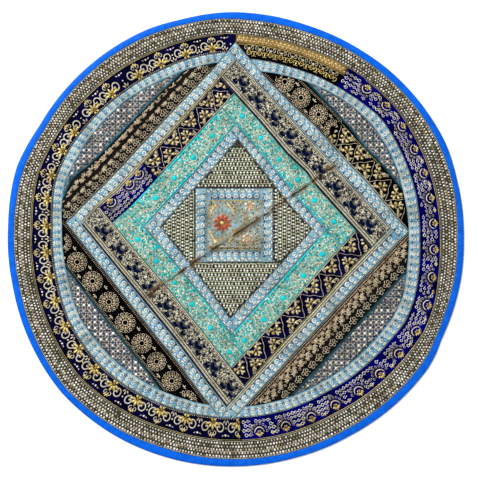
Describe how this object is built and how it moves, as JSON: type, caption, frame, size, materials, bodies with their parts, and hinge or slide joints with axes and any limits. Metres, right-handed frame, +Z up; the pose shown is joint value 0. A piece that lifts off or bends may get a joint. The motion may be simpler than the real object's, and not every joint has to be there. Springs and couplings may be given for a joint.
{
  "type": "round patchwork tapestry",
  "caption": "Round flat wall hanging or table cover of embroidered and beaded border strips, pieced as nested diamonds inside rings, with a folded satin binding.",
  "frame": {"origin": "middle of the cloth's outline, on the surface that it lies on", "axes": "+Z up out of the decorated face, +Y towards the top of the pattern, +X towards its right"},
  "size_m": [1.0014, 0.9973, 0.0083],
  "materials": {
    "ground_cotton": "matt cotton",
    "blue_satin": "smooth satin with a soft sheen",
    "bead_cloth": "close rows of silver and pearl beads on dark cloth",
    "navy_silk": "silk with gold thread embroidery",
    "black_silk": "silk with gold thread embroidery",
    "royal_silk": "silk with gold and silver thread embroidery",
    "gold_braid": "woven metallic ribbon",
    "light_blue_silk": "satin with sequins and silver thread",
    "turquoise_silk": "silk with thread embroidery",
    "floral_beige": "silk with beige and navy thread embroidery",
    "brown_gold": "silk with brown-gold thread embroidery",
    "crosshatch_net": "beaded cloth under crossed teal threads",
    "teal_piping": "twisted satin cord edge",
    "medallion_silk": "silk with gold and orange thread embroidery"
  },
  "bodies": {
    "root": {"bead_band": "bead_cloth", "beaded_bottom": "bead_cloth", "beaded_left": "bead_cloth", "beaded_right": "bead_cloth", "beaded_top": "bead_cloth", "black_scroll_border": "black_silk", "crosshatch_bottom_left": "crosshatch_net", "crosshatch_bottom_right": "crosshatch_net", "crosshatch_top_left": "crosshatch_net", "crosshatch_top_right": "crosshatch_net", "diamond_bottom_left": "light_blue_silk", "diamond_bottom_right": "light_blue_silk", "diamond_top_left": "light_blue_silk", "diamond_top_right": "light_blue_silk", "edge_binding": "blue_satin", "gold_braid": "gold_braid", "ground_cloth": "ground_cotton", "inner_blue_bottom_left": "light_blue_silk", "inner_blue_bottom_right": "light_blue_silk", "inner_blue_top_left": "light_blue_silk", "inner_blue_top_right": "light_blue_silk", "light_blue_ring_left": "light_blue_silk", "light_blue_ring_right": "light_blue_silk", "medallion": "medallion_silk", "navy_border": "navy_silk", "piping_bottom_left": "teal_piping", "piping_bottom_right": "teal_piping", "piping_top_left": "teal_piping", "piping_top_right": "teal_piping", "royal_border": "royal_silk", "second_bottom_left": "floral_beige", "second_bottom_right": "navy_silk", "second_top_left_lower": "royal_silk", "second_top_left_upper": "navy_silk", "second_top_right": "floral_beige", "side_border_bottom_left": "black_silk", "side_border_bottom_right": "brown_gold", "side_border_top_left": "brown_gold", "side_border_top_right_lower": "black_silk", "side_border_top_right_upper": "black_silk", "square_bottom": "light_blue_silk", "square_left": "light_blue_silk", "square_right": "light_blue_silk", "square_top": "light_blue_silk", "turquoise_bottom_left": "turquoise_silk", "turquoise_bottom_right": "turquoise_silk", "turquoise_top_left": "turquoise_silk", "turquoise_top_right": "turquoise_silk"}
  },
  "joints": []
}
